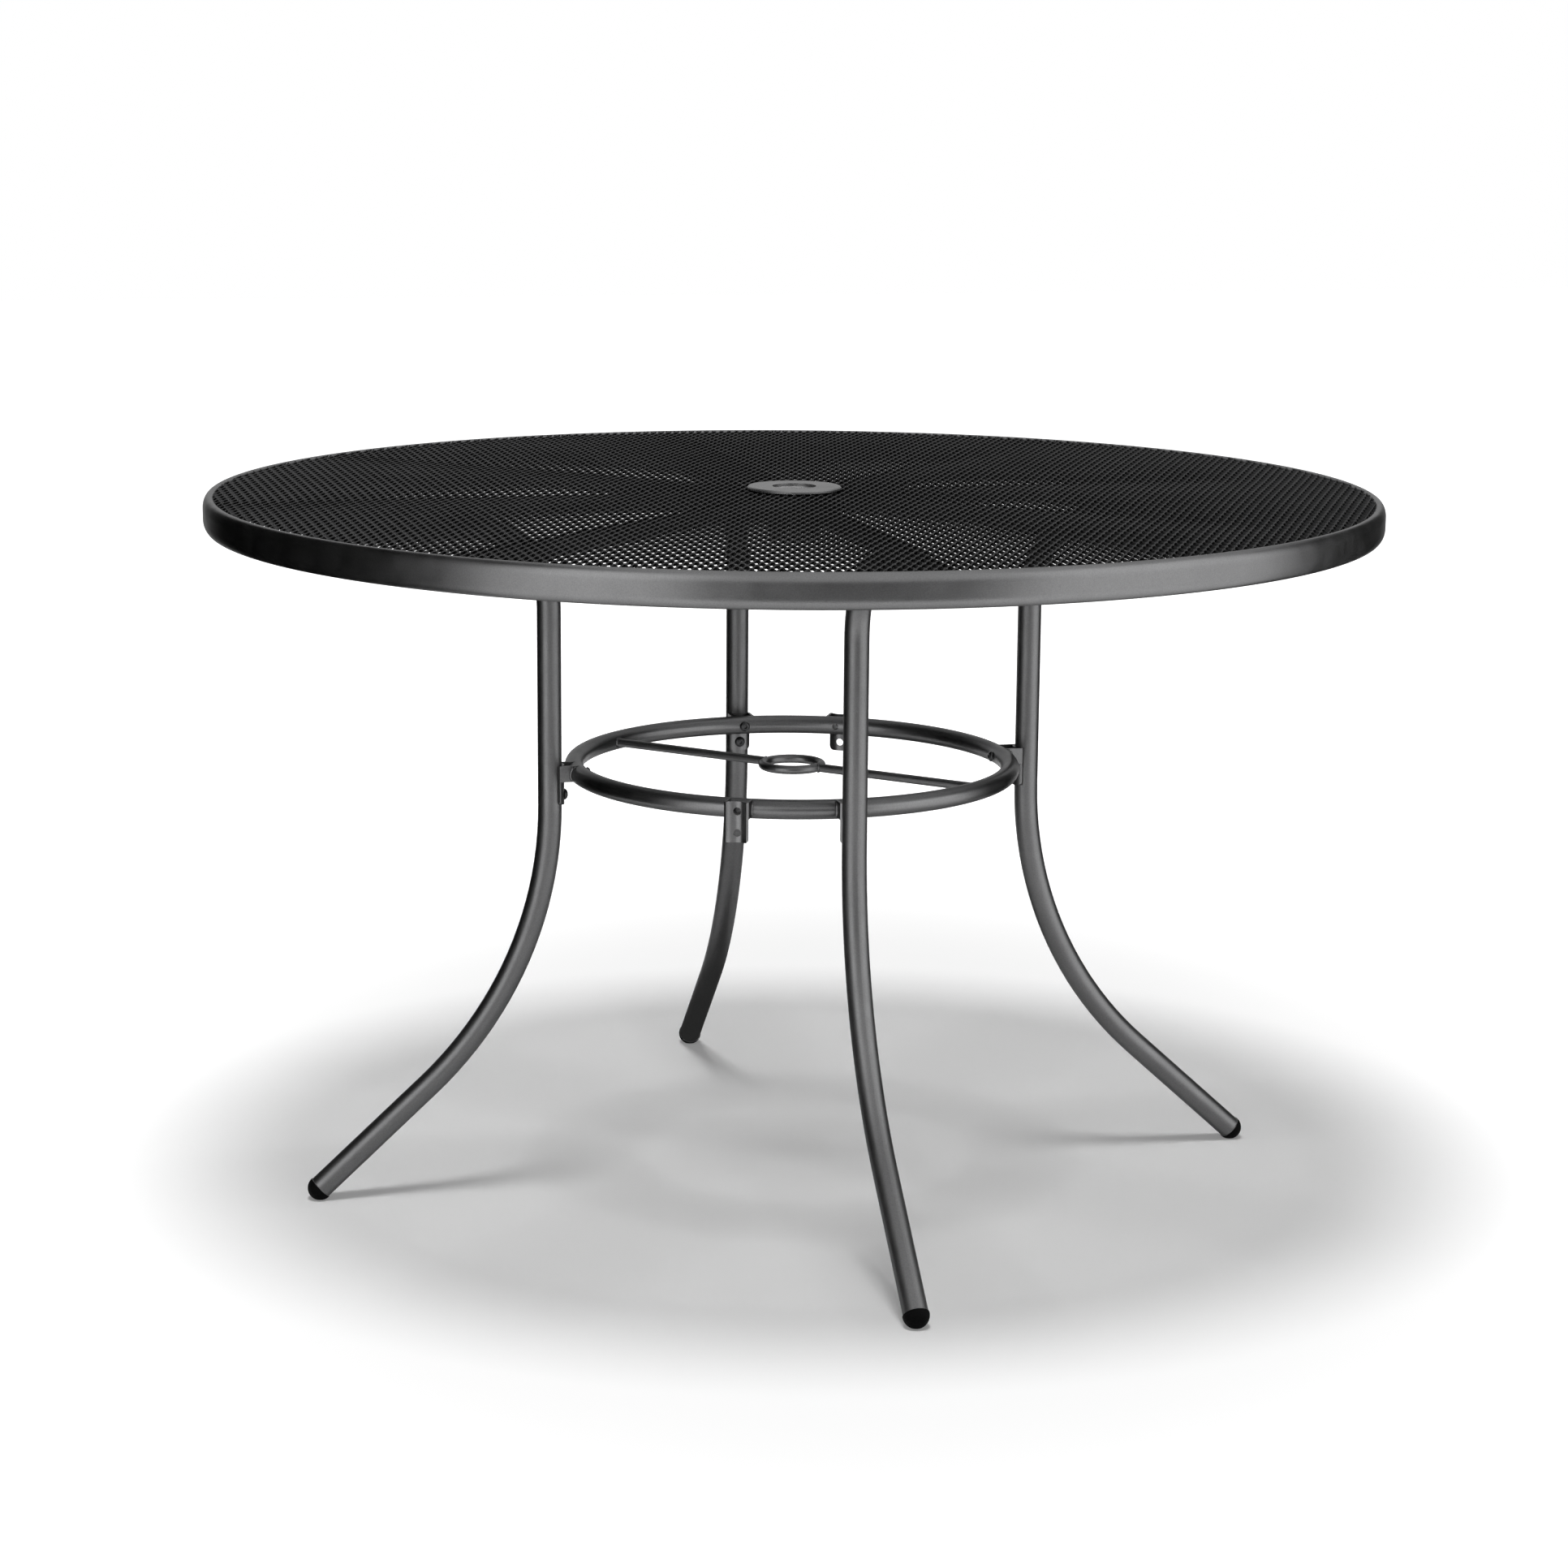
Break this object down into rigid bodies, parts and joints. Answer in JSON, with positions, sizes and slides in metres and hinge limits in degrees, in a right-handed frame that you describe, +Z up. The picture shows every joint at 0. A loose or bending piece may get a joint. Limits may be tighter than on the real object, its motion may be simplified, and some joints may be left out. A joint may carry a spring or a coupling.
{
  "type": "umbrella table",
  "caption": "Round patio umbrella table: steel mesh top in a tube rim on bent tube legs, braced by a lower ring with a guide loop for the umbrella's pole.",
  "frame": {"origin": "on the floor below the middle of the umbrella hole", "axes": "+Z up; the legs stand on the X and Y axes, with +X the leg named right and -Y the leg named front"},
  "size_m": [1.219, 1.219, 0.741],
  "materials": {
    "frame_coat": "satin charcoal powder coat",
    "mesh_coat": "satin black powder coat",
    "hub_coat": "satin grey powder coat",
    "foot_plastic": "moulded black plastic",
    "bolt_steel": "dark coated steel"
  },
  "bodies": {
    "root": {"rim_hoop": "frame_coat", "umbrella_sleeve": "frame_coat", "lower_ring": "frame_coat", "pole_loop": "frame_coat", "guide_rod_back": "frame_coat", "guide_rod_front": "frame_coat", "hub_plate": "hub_coat", "mesh_top": "mesh_coat", "spoke_right": "frame_coat", "spoke_back_right": "frame_coat", "spoke_back": "frame_coat", "spoke_back_left": "frame_coat", "spoke_left": "frame_coat", "spoke_front_left": "frame_coat", "spoke_front": "frame_coat", "spoke_front_right": "frame_coat", "leg_right": "frame_coat", "bracket_right": "frame_coat", "foot_cap_right": "foot_plastic", "arm_plug_right": "foot_plastic", "leg_back": "frame_coat", "bracket_back": "frame_coat", "foot_cap_back": "foot_plastic", "arm_plug_back": "foot_plastic", "leg_left": "frame_coat", "bracket_left": "frame_coat", "foot_cap_left": "foot_plastic", "arm_plug_left": "foot_plastic", "leg_front": "frame_coat", "bracket_front": "frame_coat", "foot_cap_front": "foot_plastic", "arm_plug_front": "foot_plastic", "bracket_spare_back": "frame_coat", "bracket_spare_front": "frame_coat", "upper_ring_bolts": "bolt_steel", "upper_leg_nuts": "bolt_steel", "lower_ring_bolts": "bolt_steel", "lower_leg_nuts": "bolt_steel", "arm_bolts": "bolt_steel", "arm_nuts": "bolt_steel"}
  },
  "joints": []
}
